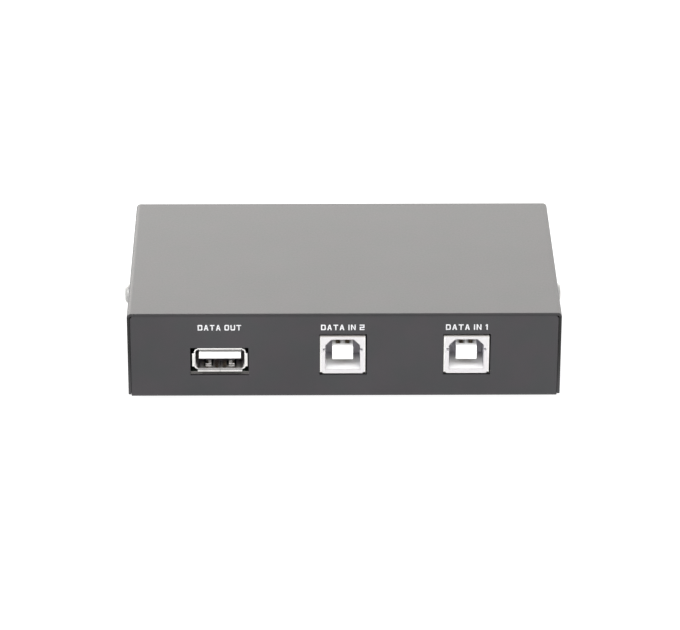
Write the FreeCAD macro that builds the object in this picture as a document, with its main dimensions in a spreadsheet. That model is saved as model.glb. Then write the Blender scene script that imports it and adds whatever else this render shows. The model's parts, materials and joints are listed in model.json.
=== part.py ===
"""A two-way data switch: one shared device port and two host ports in a small sheet-steel case.

X runs across the case, +Y points out of the selector side, -Y out of the port side, +Z is up.
The origin lies under the middle of the whole switch, in the plane of its rubber feet.
"""

import FreeCAD, Part
import os

import Sketcher
from FreeCAD import Placement, Rotation, Vector

os.makedirs("parts", exist_ok=True)
doc = FreeCAD.newDocument("data_switch")
sheet = doc.addObject("Spreadsheet::Sheet", "Dims")
pieces = []
CLOSE = 1e-4
PAST = 1
TERMINALS_PER_SIDE = 6


# ---------------------------------------------------------------- lengths bound to the sheet


class Measure:
    """A length worked out from the sheet: its formula, and the value that the formula has now."""

    def __init__(self, formula, value):
        self.formula = formula
        self.value = value

    def joined(self, sign, other):
        other = measure(other)
        value = {
            "+": self.value + other.value,
            "-": self.value - other.value,
            "*": self.value * other.value,
        }[sign]
        return Measure(f"({self.formula} {sign} {other.formula})", value)

    def __add__(self, other):
        return self.joined("+", other)

    def __radd__(self, other):
        return measure(other) + self

    def __sub__(self, other):
        return self.joined("-", other)

    def __rsub__(self, other):
        return measure(other) - self

    def __mul__(self, other):
        return self.joined("*", other)

    def __rmul__(self, other):
        return measure(other) * self

    def __truediv__(self, number):
        return Measure(f"({self.formula} / {number})", self.value / number)

    def __neg__(self):
        return Measure(f"(0 - {self.formula})", -self.value)


def measure(length):
    """A plain number as a Measure; a Measure as it is."""
    if isinstance(length, Measure):
        return length
    return Measure(f"({length})", length)


def cell(alias, number):
    """Puts one driving dimension in the sheet, in millimetres, and gives it as a Measure."""
    cell.row += 1
    sheet.set(f"A{cell.row}", alias)
    sheet.set(f"B{cell.row}", str(number))
    sheet.setAlias(f"B{cell.row}", alias)
    return Measure(f"Dims.{alias}", number)


cell.row = 0


# ---------------------------------------------------------------- ways of making a shape


def bind(thing, prop, length):
    thing.setExpression(prop, measure(length).formula)


def place(thing, x=0, y=0, z=0, rotation=None):
    """Turns a shape made about the origin, then moves it to x, y, z."""
    thing.Placement = Placement(Vector(0, 0, 0), rotation or Rotation())
    for axis, length in (("x", x), ("y", y), ("z", z)):
        bind(thing, f"Placement.Base.{axis}", length)
    return thing


def block(name, x, y, z):
    """A box between a (low, high) pair on each axis."""
    box = doc.addObject("Part::Box", name)
    for prop, axis, (low, high) in (("Length", "x", x), ("Width", "y", y), ("Height", "z", z)):
        bind(box, prop, measure(high) - low)
        bind(box, f"Placement.Base.{axis}", low)
    return box


TURNS = {
    "x": Rotation(Vector(0, 1, 0), 90),
    "-x": Rotation(Vector(0, 1, 0), -90),
    "y": Rotation(Vector(1, 0, 0), -90),
    "z": Rotation(),
}


def rod(name, axis, x, y, z, radius, length):
    """A cylinder that starts at x, y, z and runs along the axis."""
    cylinder = doc.addObject("Part::Cylinder", name)
    bind(cylinder, "Radius", radius)
    bind(cylinder, "Height", length)
    return place(cylinder, x, y, z, TURNS[axis])


def fuse(name, *shapes):
    union = doc.addObject("Part::MultiFuse", name)
    union.Shapes = list(shapes)
    return union


def group(name, shapes):
    """Several solids that don't touch, kept as one piece."""
    compound = doc.addObject("Part::Compound", name)
    compound.Links = list(shapes)
    return compound


def cut(name, base, *tools):
    result = doc.addObject("Part::Cut", name)
    result.Base = base
    result.Tool = tools[0] if len(tools) == 1 else fuse(name + "_tools", *tools)
    return result


def origin_feature(body, role):
    return next(f for f in body.Origin.OriginFeatures if f.Role == role)


def outline(body, name, plane, offset, points):
    """A closed sketch through the points, each a pair of lengths, at an offset from an origin plane."""
    sketch = body.newObject("Sketcher::SketchObject", name)
    sketch.AttachmentSupport = [(origin_feature(body, plane), "")]
    sketch.MapMode = "FlatFace"
    bind(sketch, "AttachmentOffset.Base.z", offset)
    corners = [(measure(a), measure(b)) for a, b in points]
    last = len(corners) - 1
    for i, (a, b) in enumerate(corners):
        c, d = corners[0 if i == last else i + 1]
        start = Vector(a.value, b.value, 0)
        end = Vector(c.value, d.value, 0)
        sketch.addGeometry(Part.LineSegment(start, end))
    for i in range(len(corners)):
        following = 0 if i == last else i + 1
        sketch.addConstraint(Sketcher.Constraint("Coincident", i, 2, following, 1))
    for i, corner in enumerate(corners):
        for kind, length in zip(("DistanceX", "DistanceY"), corner):
            constraint = Sketcher.Constraint(kind, -1, 1, i, 1, length.value)
            index = sketch.addConstraint(constraint)
            sketch.setExpression(f"Constraints[{index}]", length.formula)
    return sketch


def prism(name, axis, points, low, high):
    """An outline across the axis, made solid from low to high along it."""
    body = doc.addObject("PartDesign::Body", name)
    plane = {"x": "YZ_Plane", "y": "XZ_Plane", "z": "XY_Plane"}[axis]
    start = -measure(high) if axis == "y" else measure(low)
    sketch = outline(body, name + "_outline", plane, start, points)
    pad = body.newObject("PartDesign::Pad", name + "_pad")
    pad.Profile = sketch
    bind(pad, "Length", measure(high) - low)
    return body


def turned(name, points):
    """A turned piece: pairs of (radius, height), revolved about Z."""
    body = doc.addObject("PartDesign::Body", name)
    sketch = outline(body, name + "_outline", "XZ_Plane", 0, points)
    turn = body.newObject("PartDesign::Revolution", name + "_turn")
    turn.Profile = sketch
    turn.ReferenceAxis = (origin_feature(body, "Z_Axis"), [""])
    turn.Angle = 360
    return body


def lies(edge, x=None, y=None, z=None):
    """True if the whole edge lies at these values."""
    box = edge.BoundBox
    spans = ((x, box.XMin, box.XMax), (y, box.YMin, box.YMax), (z, box.ZMin, box.ZMax))
    for wanted, low, high in spans:
        if wanted is None:
            continue
        target = measure(wanted).value
        if abs(low - target) > CLOSE or abs(high - target) > CLOSE:
            return False
    return True


def runs_at(x, z):
    """A test for an edge that runs along Y at x and z."""
    return lambda edge: lies(edge, x=x, z=z)


def rounded(body, name, radius, *tests):
    """Rounds the edges of a body that pass any of the tests."""
    doc.recompute()
    edges = body.Tip.Shape.Edges
    chosen = [f"Edge{i}" for i, edge in enumerate(edges, 1) if any(test(edge) for test in tests)]
    base = body.Tip
    fillet = body.newObject("PartDesign::Fillet", name)
    fillet.Base = (base, chosen)
    bind(fillet, "Radius", radius)
    return body


def keep(label, shape):
    """Names a finished sub-part, which is written to a file of that name."""
    shape.Label = label
    pieces.append(shape)
    return shape


# ---------------------------------------------------------------- driving dimensions, mm

case_width = cell("case_width", 110.0)
case_depth = cell("case_depth", 67.0)
case_height = cell("case_height", 23.7)
sheet_thick = cell("sheet_thick", 0.7)
panel_inset = cell("panel_inset", 0.15)
cover_gap = cell("cover_gap", 0.06)
cover_lift = cell("cover_lift", 0.7)
bend_inside = cell("bend_inside", 0.4)
edge_round = cell("edge_round", 0.15)
panel_edge_round = cell("panel_edge_round", 0.08)
cover_rim_round = cell("cover_rim_round", 0.25)
panel_corner = cell("panel_corner", 1.0)
cover_corner = cell("cover_corner", 0.5)

foot_height = cell("foot_height", 1.5)
foot_radius = cell("foot_radius", 4.5)
foot_inset = cell("foot_inset", 9.5)

lug_width = cell("lug_width", 14.0)
lug_height = cell("lug_height", 17.0)
collar_radius = cell("collar_radius", 2.3)
collar_length = cell("collar_length", 1.4)
screw_level = cell("screw_level", 13.0)
screw_setback = cell("screw_setback", 34.0)

screw_radius = cell("screw_radius", 1.48)
screw_length = cell("screw_length", 5.0)
screw_hole = cell("screw_hole", 1.5)
screw_head = cell("screw_head", 2.5)
head_height = cell("head_height", 1.9)
head_round = cell("head_round", 1.0)
recess_span = cell("recess_span", 1.5)
recess_width = cell("recess_width", 0.55)
recess_depth = cell("recess_depth", 1.1)
clear_hole = cell("clear_hole", 1.7)

board_level = cell("board_level", 6.5)
board_thick = cell("board_thick", 1.6)
board_width = cell("board_width", 93.0)
board_gap = cell("board_gap", 1.2)
standoff_radius = cell("standoff_radius", 2.75)
standoff_across = cell("standoff_across", 42.0)
standoff_inset = cell("standoff_inset", 8.5)

port_pitch = cell("port_pitch", 31.4)
port_offset = cell("port_offset", -0.3)
device_offset = cell("device_offset", 0.1)
host_offset = cell("host_offset", -0.12)
cutout_level = cell("cutout_level", 6.3)
shell_thick = cell("shell_thick", 0.3)
leg_width = cell("leg_width", 2.4)
leg_drop = cell("leg_drop", 3.2)
leg_room = cell("leg_room", 0.2)
pin_drop = cell("pin_drop", 3.0)
pin_hole = cell("pin_hole", 0.65)
contact_thick = cell("contact_thick", 0.25)
contact_width = cell("contact_width", 1.0)

# The flat device socket, which takes a 12.0 x 4.5 mm plug.
flat_cutout_width = cell("flat_cutout_width", 14.8)
flat_cutout_height = cell("flat_cutout_height", 7.75)
flat_inside_width = cell("flat_inside_width", 12.5)
flat_inside_height = cell("flat_inside_height", 5.12)
flat_level = cell("flat_level", 4.17)
flat_depth = cell("flat_depth", 14.2)
shell_round = cell("shell_round", 1.0)
flare_depth = cell("flare_depth", 0.55)
flare_width = cell("flare_width", 14.0)
flare_height = cell("flare_height", 6.6)
lip_width = cell("lip_width", 11.3)
lip_side_height = cell("lip_side_height", 3.7)
seam_width = cell("seam_width", 0.14)
finger_across = cell("finger_across", 2.95)
finger_width = cell("finger_width", 1.4)
finger_root = cell("finger_root", 9.0)
finger_tip = cell("finger_tip", 2.2)
finger_rise = cell("finger_rise", 0.8)
finger_room = cell("finger_room", 0.45)
finger_curl = cell("finger_curl", 1.0)
window_margin = cell("window_margin", 0.3)
flat_tongue_width = cell("flat_tongue_width", 10.6)
flat_tongue_thick = cell("flat_tongue_thick", 1.84)
flat_tongue_gap = cell("flat_tongue_gap", 0.9)
flat_tongue_setback = cell("flat_tongue_setback", 0.75)
flat_tongue_bevel = cell("flat_tongue_bevel", 0.35)
flat_block_start = cell("flat_block_start", 9.8)
flat_contact_inner = cell("flat_contact_inner", 1.0)
flat_contact_outer = cell("flat_contact_outer", 3.5)
flat_contact_setback = cell("flat_contact_setback", 1.0)
flat_contact_sink = cell("flat_contact_sink", 0.1)
flat_leg_start = cell("flat_leg_start", 7.4)
organiser_depth = cell("organiser_depth", 2.0)

# The square host sockets, which take an 8.45 x 7.78 mm plug.
square_cutout_width = cell("square_cutout_width", 12.0)
square_cutout_height = cell("square_cutout_height", 11.5)
square_width = cell("square_width", 11.5)
square_height = cell("square_height", 10.7)
square_depth = cell("square_depth", 16.0)
square_base = cell("square_base", 0.25)
square_skirt = cell("square_skirt", 0.6)
square_bottom_bevel = cell("square_bottom_bevel", 0.5)
cavity_width = cell("cavity_width", 8.8)
cavity_height = cell("cavity_height", 8.4)
cavity_level = cell("cavity_level", 5.55)
cavity_bevel = cell("cavity_bevel", 1.6)
cavity_round = cell("cavity_round", 0.8)
cavity_depth = cell("cavity_depth", 9.4)
lead_in = cell("lead_in", 0.1)
notch_width = cell("notch_width", 0.65)
notch_height = cell("notch_height", 0.8)
notch_level = cell("notch_level", 1.35)
notch_depth = cell("notch_depth", 5.0)
square_tongue_width = cell("square_tongue_width", 5.25)
square_tongue_height = cell("square_tongue_height", 3.7)
square_tongue_setback = cell("square_tongue_setback", 0.6)
square_tongue_lift = cell("square_tongue_lift", 0.1)
square_tongue_bevel = cell("square_tongue_bevel", 0.3)
slot_width = cell("slot_width", 1.6)
slot_depth = cell("slot_depth", 0.6)
slot_across = cell("slot_across", 1.2)
slot_setback = cell("slot_setback", 1.9)
square_leg_start = cell("square_leg_start", 10.0)
upper_pin_setback = cell("upper_pin_setback", 13.6)
lower_pin_setback = cell("lower_pin_setback", 11.6)
rail_width = cell("rail_width", 1.2)
rail_front_setback = cell("rail_front_setback", 3.0)
rail_back_setback = cell("rail_back_setback", 2.0)

# The push button and its latching switch.
button_proud = cell("button_proud", 4.5)
button_radius = cell("button_radius", 4.5)
button_length = cell("button_length", 9.0)
button_round = cell("button_round", 0.7)
button_hole = cell("button_hole", 4.85)
button_bore = cell("button_bore", 3.6)
button_bore_depth = cell("button_bore_depth", 3.6)
switch_setback = cell("switch_setback", 9.0)
switch_half_width = cell("switch_half_width", 5.5)
switch_length = cell("switch_length", 19.0)
switch_roof = cell("switch_roof", 3.6)
switch_wall = cell("switch_wall", 1.0)
slide_room_width = cell("slide_room_width", 3.7)
slide_room_height = cell("slide_room_height", 2.1)
slide_half_width = cell("slide_half_width", 2.7)
slide_half_height = cell("slide_half_height", 1.85)
slide_length = cell("slide_length", 13.0)
slide_end_gap = cell("slide_end_gap", 0.15)
stem_radius = cell("stem_radius", 1.8)
stem_hole = cell("stem_hole", 2.05)
stem_socket = cell("stem_socket", 2.6)
spring_radius = cell("spring_radius", 2.75)
spring_wire = cell("spring_wire", 0.2)
spring_pitch = cell("spring_pitch", 1.45)
spring_seat_gap = cell("spring_seat_gap", 0.05)
latch_setback = cell("latch_setback", 8.5)
latch_length = cell("latch_length", 8.8)
latch_wire = cell("latch_wire", 0.3)
latch_bore = cell("latch_bore", 0.4)
latch_slot = cell("latch_slot", 1.8)
latch_slot_half = cell("latch_slot_half", 0.8)
latch_seat = cell("latch_seat", 0.3)
latch_gap = cell("latch_gap", 0.1)
latch_tip_gap = cell("latch_tip_gap", 0.2)
track_depth = cell("track_depth", 1.1)
track_start = cell("track_start", 0.6)
track_swing = cell("track_swing", 1.6)
track_widens = cell("track_widens", 3.2)
track_end = cell("track_end", 4.3)
heart_point = cell("heart_point", 1.5)
heart_half = cell("heart_half", 0.35)
heart_lobe = cell("heart_lobe", 2.9)
heart_notch = cell("heart_notch", 2.6)
heart_root = cell("heart_root", 0.2)
frame_thick = cell("frame_thick", 0.3)
frame_length = cell("frame_length", 12.0)
frame_drop = cell("frame_drop", 4.0)
frame_behind_pivot = cell("frame_behind_pivot", 1.2)
clip_length = cell("clip_length", 3.6)
clip_height = cell("clip_height", 1.6)
clip_proud = cell("clip_proud", 0.8)
clip_first = cell("clip_first", 4.6)
clip_pitch = cell("clip_pitch", 6.2)
terminal_first = cell("terminal_first", 2.4)
terminal_pitch = cell("terminal_pitch", 2.6)
terminal_thick = cell("terminal_thick", 0.3)
terminal_rise = cell("terminal_rise", 1.0)

# The lamps and the small parts on the board.
lamp_across = cell("lamp_across", 18.0)
lamp_radius = cell("lamp_radius", 1.5)
lamp_hole = cell("lamp_hole", 1.6)
lamp_proud = cell("lamp_proud", 1.2)
lamp_barrel = cell("lamp_barrel", 3.3)
lamp_rim = cell("lamp_rim", 1.9)
lamp_rim_thick = cell("lamp_rim_thick", 1.0)
lead_across = cell("lead_across", 1.27)
lead_side = cell("lead_side", 0.5)
lead_reach = cell("lead_reach", 3.4)
lead_hole = cell("lead_hole", 0.45)
resistor_length = cell("resistor_length", 3.2)
resistor_width = cell("resistor_width", 1.6)
resistor_height = cell("resistor_height", 0.6)
resistor_behind_lamp = cell("resistor_behind_lamp", 13.5)
can_radius = cell("can_radius", 3.15)
can_height = cell("can_height", 7.0)
can_x = cell("can_x", -20.0)
can_behind_port = cell("can_behind_port", 27.0)

# ---------------------------------------------------------------- places worked out from them

side_out = case_width / 2
side_in = side_out - sheet_thick
chassis_side = side_in - cover_gap
port_face = -(case_depth + button_proud) / 2
selector_face = (case_depth - button_proud) / 2
port_panel = port_face + panel_inset
selector_panel = selector_face - panel_inset
port_inside = port_panel + sheet_thick
selector_inside = selector_panel - sheet_thick
underside = foot_height
floor = underside + sheet_thick
roof = underside + case_height
cover_low = underside + cover_lift
ceiling = roof - sheet_thick
panel_top = ceiling - cover_gap
board_top = underside + board_level
board_under = board_top - board_thick
button_z = underside + case_height / 2
screw_y = port_face + screw_setback
screw_z = underside + screw_level
bend_outside = bend_inside + sheet_thick

socket_front = port_panel
port_x = {
    "device_port": port_offset - port_pitch,
    "host_port_2": port_offset,
    "host_port_1": port_offset + port_pitch,
}
socket_x = {
    "device_port": port_x["device_port"] + device_offset,
    "host_port_2": port_x["host_port_2"] + host_offset,
    "host_port_1": port_x["host_port_1"] + host_offset,
}
flat_z = board_top + flat_level
square_z = board_top + cavity_level
cutout_bottom = underside + cutout_level

foot_places = [
    (x, y)
    for y in (port_face + foot_inset, selector_face - foot_inset)
    for x in (foot_inset - side_out, side_out - foot_inset)
]
standoff_places = [
    (x, y)
    for y in (port_face + standoff_inset, selector_face - standoff_inset)
    for x in (-standoff_across, standoff_across)
]

switch_front = selector_face - switch_setback
switch_back = switch_front - switch_length
slide_front = switch_front - switch_wall - slide_end_gap
slide_back = slide_front - slide_length
latch_y = switch_front - latch_setback
pivot_y = latch_y - latch_length
latch_z = button_z + switch_roof + latch_wire
lead_y = selector_face + lamp_proud - lamp_radius - lamp_barrel - lamp_rim_thick - lead_reach

# Round holes and leg slots that the soldered pieces need in the board.
board_holes = []
board_slots = []


# ---------------------------------------------------------------- fasteners


def pan_screw(name, x, y, z, direction):
    """A pan-head screw with a crossed recess. Its head rises along the direction from x, y, z."""
    blank = turned(
        name + "_blank",
        [
            (0, -screw_length),
            (screw_radius, -screw_length),
            (screw_radius, 0),
            (screw_head, 0),
            (screw_head, head_height),
            (0, head_height),
        ],
    )
    rounded(blank, name + "_dome", head_round, lambda edge: lies(edge, z=head_height))
    recess = [
        block(
            f"{name}_recess_{i}",
            (-half_x, half_x),
            (-half_y, half_y),
            (head_height - recess_depth, head_height + PAST),
        )
        for i, (half_x, half_y) in enumerate(
            ((recess_span, recess_width / 2), (recess_width / 2, recess_span))
        )
    ]
    return place(keep(name, cut(name, blank, *recess)), x, y, z, TURNS[direction])


# ---------------------------------------------------------------- case


def is_panel_arc(edge):
    """True for the arcs at the two upper corners of an end panel."""
    faces = (port_panel, port_inside, selector_panel, selector_inside)
    high = edge.BoundBox.ZMin > (panel_top - panel_corner).value - CLOSE
    return high and any(lies(edge, y=face) for face in faces)


def is_outer_rim(edge):
    """True for the outer edges of the cover's two rims, but not for their lower ends."""
    box = edge.BoundBox
    at_rim = any(lies(edge, y=face) for face in (port_face, selector_face))
    reach = max(box.XMax, -box.XMin)
    outside = reach > side_in.value + CLOSE or box.ZMax > ceiling.value + CLOSE
    return at_rim and outside and box.ZMax > (cover_low + cover_corner).value + CLOSE


def make_cover():
    """The top and both sides, one bent sheet with a screw hole in each side."""
    body = prism(
        "cover_sheet",
        "y",
        [
            (-side_out, cover_low),
            (-side_out, roof),
            (side_out, roof),
            (side_out, cover_low),
            (side_in, cover_low),
            (side_in, ceiling),
            (-side_in, ceiling),
            (-side_in, cover_low),
        ],
        port_face,
        selector_face,
    )
    rounded(
        body,
        "cover_bend_outside",
        bend_outside,
        lambda edge: lies(edge, x=side_out, z=roof),
        lambda edge: lies(edge, x=-side_out, z=roof),
    )
    rounded(
        body,
        "cover_bend_inside",
        bend_inside,
        lambda edge: lies(edge, x=side_in, z=ceiling),
        lambda edge: lies(edge, x=-side_in, z=ceiling),
    )
    rounded(
        body,
        "cover_lower_corners",
        cover_corner,
        lambda edge: lies(edge, y=port_face, z=cover_low),
        lambda edge: lies(edge, y=selector_face, z=cover_low),
    )
    rounded(
        body,
        "cover_rims",
        cover_rim_round,
        lambda edge: is_outer_rim(edge),
    )
    hole = rod(
        "cover_screw_holes", "x", -side_out - PAST, screw_y, screw_z, clear_hole, case_width + 2 * PAST
    )
    keep("top_cover", cut("top_cover", body, hole))


def make_chassis():
    """The floor and both end panels, one bent sheet, with a tapped lug at each side."""
    body = prism(
        "chassis_sheet",
        "x",
        [
            (port_panel, underside),
            (selector_panel, underside),
            (selector_panel, panel_top),
            (selector_inside, panel_top),
            (selector_inside, floor),
            (port_inside, floor),
            (port_inside, panel_top),
            (port_panel, panel_top),
        ],
        -chassis_side,
        chassis_side,
    )
    rounded(
        body,
        "chassis_bend_outside",
        bend_outside,
        lambda edge: lies(edge, y=port_panel, z=underside),
        lambda edge: lies(edge, y=selector_panel, z=underside),
    )
    rounded(
        body,
        "chassis_bend_inside",
        bend_inside,
        lambda edge: lies(edge, y=port_inside, z=floor),
        lambda edge: lies(edge, y=selector_inside, z=floor),
    )
    rounded(
        body,
        "chassis_panel_corners",
        panel_corner,
        lambda edge: lies(edge, x=chassis_side, z=panel_top),
        lambda edge: lies(edge, x=-chassis_side, z=panel_top),
    )
    rounded(
        body,
        "chassis_rims",
        panel_edge_round,
        lambda edge: lies(edge, x=chassis_side),
        lambda edge: lies(edge, x=-chassis_side),
        lambda edge: lies(edge, z=panel_top),
        lambda edge: is_panel_arc(edge),
    )
    cut_y = (port_panel - PAST, port_inside + PAST)
    openings = []
    for name, width, height in (
        ("device_port", flat_cutout_width, flat_cutout_height),
        ("host_port_2", square_cutout_width, square_cutout_height),
        ("host_port_1", square_cutout_width, square_cutout_height),
    ):
        across = (port_x[name] - width / 2, port_x[name] + width / 2)
        upright = (cutout_bottom, cutout_bottom + height)
        openings.append(block(name + "_cutout", across, cut_y, upright))
    through = sheet_thick + 2 * PAST
    back_y = selector_inside - PAST
    openings.append(rod("button_hole_tool", "y", 0, back_y, button_z, button_hole, through))
    for x in (-lamp_across, lamp_across):
        openings.append(rod("lamp_hole_tool", "y", x, back_y, button_z, lamp_hole, through))
    sheet_cut = cut("chassis_panels", body, *openings)
    parts = [sheet_cut]
    holes = []
    for side, direction in ((-1, "x"), (1, "-x")):
        face = chassis_side * side
        inner = face - sheet_thick * side
        spread = (inner, face) if side > 0 else (face, inner)
        along = (screw_y - lug_width / 2, screw_y + lug_width / 2)
        parts.append(block("screw_lug", spread, along, (underside, underside + lug_height)))
        length = sheet_thick + collar_length
        parts.append(rod("screw_collar", direction, face, screw_y, screw_z, collar_radius, length))
        start = face + PAST * side
        holes.append(rod("lug_hole", direction, start, screw_y, screw_z, screw_hole, length + 2 * PAST))
    keep("chassis", cut("chassis", fuse("chassis_with_lugs", *parts), *holes))


def make_case_screws():
    pan_screw("cover_screw_left", -side_out, screw_y, screw_z, "-x")
    pan_screw("cover_screw_right", side_out, screw_y, screw_z, "x")


def make_feet():
    for number, (x, y) in enumerate(foot_places, 1):
        body = turned(
            f"foot_{number}_blank",
            [(0, 0), (foot_radius, 0), (foot_radius, foot_height), (0, foot_height)],
        )
        rounded(body, f"foot_{number}_round", edge_round, lambda edge: lies(edge, z=0))
        place(keep(f"rubber_foot_{number}", body), x, y, 0)


# ---------------------------------------------------------------- sockets


def bent_contact(name, x, tip_y, level, pin_y, pull=0):
    """A flat contact that runs back from its tip, then down through the board as a pin."""
    top = level + contact_thick
    foot = board_top - pin_drop
    points = [
        (tip_y, level),
        (tip_y, top),
        (pin_y + contact_thick, top),
        (pin_y + contact_thick, foot),
        (pin_y, foot),
        (pin_y, level),
    ]
    half = contact_width / 2
    body = prism(name, "x", points, x - half, x + half)
    board_holes.append((x, pin_y + contact_thick / 2, pin_hole))
    return keep(name, body)


def leg_pair(name, x, half_width, start_y, top):
    """Two solder legs of a metal shell, one at each side."""
    legs = []
    for side in (-1, 1):
        outer = x + half_width * side
        inner = outer - shell_thick * side
        across = (inner, outer) if side > 0 else (outer, inner)
        along = (start_y, start_y + leg_width)
        legs.append(block(name + "_leg", across, along, (board_top - leg_drop, top)))
        board_slots.append([(low - leg_room, high + leg_room) for low, high in (across, along)])
    return legs


def flare_solid(name, x, half_widths, half_heights):
    """A four-sided funnel: half sizes at the front, then at the back of the flare."""
    wedge = doc.addObject("Part::Wedge", name)
    for prop, length in (
        ("Xmin", -half_widths[0]),
        ("Xmax", half_widths[0]),
        ("Zmin", -half_heights[0]),
        ("Zmax", half_heights[0]),
        ("X2min", -half_widths[1]),
        ("X2max", half_widths[1]),
        ("Z2min", -half_heights[1]),
        ("Z2max", half_heights[1]),
        ("Ymin", 0),
        ("Ymax", flare_depth),
    ):
        bind(wedge, prop, length)
    return place(wedge, x, socket_front, flat_z)


def spring_finger(name, x, wall, rise):
    """A tongue cut in the shell's wall, sprung into the socket, with its tip turned back."""
    root = socket_front + finger_root
    crest = socket_front + finger_tip + finger_curl
    tip = socket_front + finger_tip
    skin = shell_thick * (1 if rise.value > 0 else -1)
    points = [
        (root, wall),
        (root, wall - skin),
        (crest, wall - skin + rise),
        (tip, wall - skin + rise / 2),
        (tip, wall + rise / 2),
        (crest, wall + rise),
    ]
    return prism(name, "x", points, x - finger_width / 2, x + finger_width / 2)


def rounded_bar(name, x, halves, along, radius):
    """A bar along Y through the flat socket, half so wide and high, with its long edges rounded."""
    half_x, half_z = halves
    around = ((-1, -1), (1, -1), (1, 1), (-1, 1))
    corners = [(x + half_x * i, flat_z + half_z * k) for i, k in around]
    body = prism(name, "y", corners, *along)
    return rounded(body, name + "_round", radius, *[runs_at(*corner) for corner in corners])


def make_flat_socket(name):
    """The device socket: flared shell with sprung fingers, white tongue and four contacts."""
    x = socket_x[name]
    inside_x = flat_inside_width / 2
    inside_z = flat_inside_height / 2
    outside_x = inside_x + shell_thick
    outside_z = inside_z + shell_thick
    back = socket_front + flat_depth
    tube_front = socket_front + flare_depth

    tube = rounded_bar(name + "_tube", x, (outside_x, outside_z), (tube_front, back), shell_round)
    bore_y = (tube_front - PAST, back + PAST)
    bore = rounded_bar(name + "_bore", x, (inside_x, inside_z), bore_y, shell_round - shell_thick)
    half_flare = (flare_width / 2, flare_height / 2)
    flare = flare_solid(name + "_flare", x, (half_flare[0], outside_x), (half_flare[1], outside_z))
    mouth = flare_solid(
        name + "_mouth",
        x,
        (half_flare[0] - shell_thick, inside_x),
        (half_flare[1] - shell_thick, inside_z),
    )
    notches = []
    for side in (-1, 1):
        for level in (-1, 1):
            near_x, far_x = x + lip_width / 2 * side, x + flare_width * side
            near_z, far_z = flat_z + lip_side_height / 2 * level, flat_z + flare_height * level
            across = (near_x, far_x) if side > 0 else (far_x, near_x)
            height = (near_z, far_z) if level > 0 else (far_z, near_z)
            notches.append(block(name + "_notch", across, (socket_front - PAST, tube_front), height))
    lips = cut(name + "_lips", flare, mouth, *notches)

    windows = []
    fingers = []
    window_y = (socket_front + finger_tip - window_margin, socket_front + finger_root)
    for level in (-1, 1):
        wall = flat_z + inside_z * level
        edge = flat_z + outside_z * level
        height = (edge, wall) if level < 0 else (wall, edge)
        for side in (-1, 1):
            centre = x + finger_across * side
            half = finger_width / 2 + finger_room
            windows.append(block(name + "_window", (centre - half, centre + half), window_y, height))
            fingers.append(spring_finger(name + "_finger", centre, wall, finger_rise * -level))
    seam = block(
        name + "_seam",
        (x - seam_width / 2, x + seam_width / 2),
        (socket_front - PAST, back + PAST),
        (flat_z - flare_height, flat_z - inside_z),
    )
    legs = leg_pair(name, x, outside_x, socket_front + flat_leg_start, flat_z)
    wrap = cut(name + "_wrap", fuse(name + "_walls", tube, lips), bore, *windows, seam)
    keep(name + "_shell", fuse(name + "_shell", wrap, *fingers, *legs))

    tongue_top = flat_z + inside_z - flat_tongue_gap
    tongue_bottom = tongue_top - flat_tongue_thick
    tongue_front = socket_front + flat_tongue_setback
    block_front = socket_front + flat_block_start
    bevel = flat_tongue_bevel
    tongue = prism(
        name + "_tongue",
        "x",
        [
            (tongue_front, tongue_bottom + bevel),
            (tongue_front, tongue_top - bevel),
            (tongue_front + bevel, tongue_top),
            (block_front + PAST, tongue_top),
            (block_front + PAST, tongue_bottom),
            (tongue_front + bevel, tongue_bottom),
        ],
        x - flat_tongue_width / 2,
        x + flat_tongue_width / 2,
    )
    rear_y = (block_front, back)
    rear = rounded_bar(name + "_rear", x, (inside_x, inside_z), rear_y, shell_round - shell_thick)
    organiser = block(
        name + "_organiser",
        (x - flat_tongue_width / 2, x + flat_tongue_width / 2),
        (back, back + organiser_depth),
        (board_top, tongue_top),
    )
    contacts = []
    grooves = []
    level = tongue_bottom + flat_contact_sink
    contact_front = tongue_front + flat_contact_setback
    offsets = (-flat_contact_outer, -flat_contact_inner, flat_contact_inner, flat_contact_outer)
    for number, offset in enumerate(offsets, 1):
        contact = bent_contact(
            f"{name}_contact_{number}",
            x + offset,
            contact_front,
            level,
            back + organiser_depth / 2,
        )
        half = contact_width / 2
        across = (x + offset - half, x + offset + half)
        height = (tongue_bottom - PAST, level)
        grooves.append(block(name + "_groove", across, (contact_front, block_front), height))
        contacts.append(contact)
    body = fuse(name + "_moulding", tongue, rear, organiser)
    keep(name + "_insulator", cut(name + "_insulator", body, *contacts, *grooves))


def bevelled(x, half, low, high, top_bevel, bottom_bevel):
    """The corners of a box outline in X and Z, its upper or its lower corners cut off."""
    points = []
    if bottom_bevel:
        points += [(x + half, low + bottom_bevel), (x + half - bottom_bevel, low)]
        points += [(x - half + bottom_bevel, low), (x - half, low + bottom_bevel)]
    else:
        points += [(x + half, low), (x - half, low)]
    if top_bevel:
        points += [(x - half, high - top_bevel), (x - half + top_bevel, high)]
        points += [(x + half - top_bevel, high), (x + half, high - top_bevel)]
    else:
        points += [(x - half, high), (x + half, high)]
    return points


def square_mouth(name, x, margin, along):
    """The mouth of a host socket, wider by a margin all round, its upper corners cut and rounded."""
    half = cavity_width / 2 + margin
    low = square_z - cavity_height / 2 - margin
    high = square_z + cavity_height / 2 + margin
    body = prism(name, "y", bevelled(x, half, low, high, cavity_bevel, None), *along)
    bends = [(x + half * i, high - cavity_bevel) for i in (-1, 1)]
    bends += [(x + (half - cavity_bevel) * i, high) for i in (-1, 1)]
    return rounded(body, name + "_round", cavity_round, *[runs_at(*bend) for bend in bends])


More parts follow.
